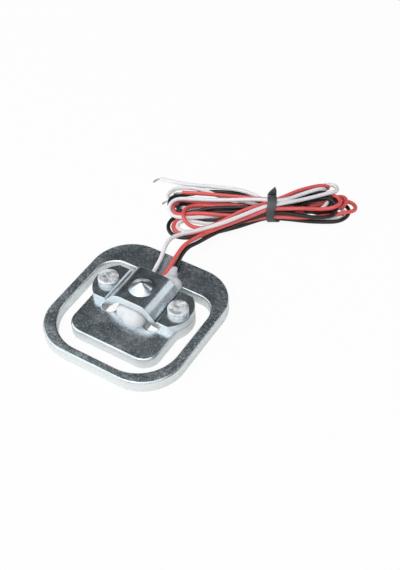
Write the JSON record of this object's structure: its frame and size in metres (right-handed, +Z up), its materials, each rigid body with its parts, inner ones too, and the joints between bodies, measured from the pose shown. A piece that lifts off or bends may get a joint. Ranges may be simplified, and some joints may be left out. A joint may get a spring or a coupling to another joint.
{
  "type": "weighing load cell",
  "caption": "Flat stamped half-bridge weighing load cell: a slotted spring plate with a riveted arch and load dome over a siliconed strain gauge, with its wires tied in a hank.",
  "frame": {"origin": "middle of the spring plate's underside, with the wires left out", "axes": "+X along the bridge from rivet to rivet, +Y from the tongue's tip to the wires, +Z up out of the load dome"},
  "size_m": [0.0484, 0.0735, 0.0086],
  "materials": {
    "plated_steel": "glossy zinc plating with a pale blue passivation, finely mottled",
    "rivet_steel": "bright plated, hammered top",
    "silicone": "translucent white satin",
    "gauge_film": "amber film",
    "gauge_metal": "satin foil",
    "solder": "bright solder",
    "tinned_copper": "dull tinned strands",
    "white_insulation": "soft satin",
    "red_insulation": "soft satin",
    "black_insulation": "soft satin",
    "tie_plastic": "satin black"
  },
  "bodies": {
    "root": {"spring_plate": "plated_steel", "load_bridge": "plated_steel", "rivets": "rivet_steel", "silicone_cover": "silicone", "gauge_carrier": "gauge_film", "gauge_foil": "gauge_metal", "wire_hank": "red_insulation", "hank_tie": "tie_plastic", "white_lead": "white_insulation", "white_tail": "white_insulation", "white_core": "tinned_copper", "white_tip": "tinned_copper", "solder_joint_white": "solder", "red_lead": "red_insulation", "red_tail": "red_insulation", "red_core": "tinned_copper", "red_tip": "tinned_copper", "solder_joint_red": "solder", "black_lead": "black_insulation", "black_tail": "black_insulation", "black_core": "tinned_copper", "black_tip": "tinned_copper", "solder_joint_black": "solder"}
  },
  "joints": []
}
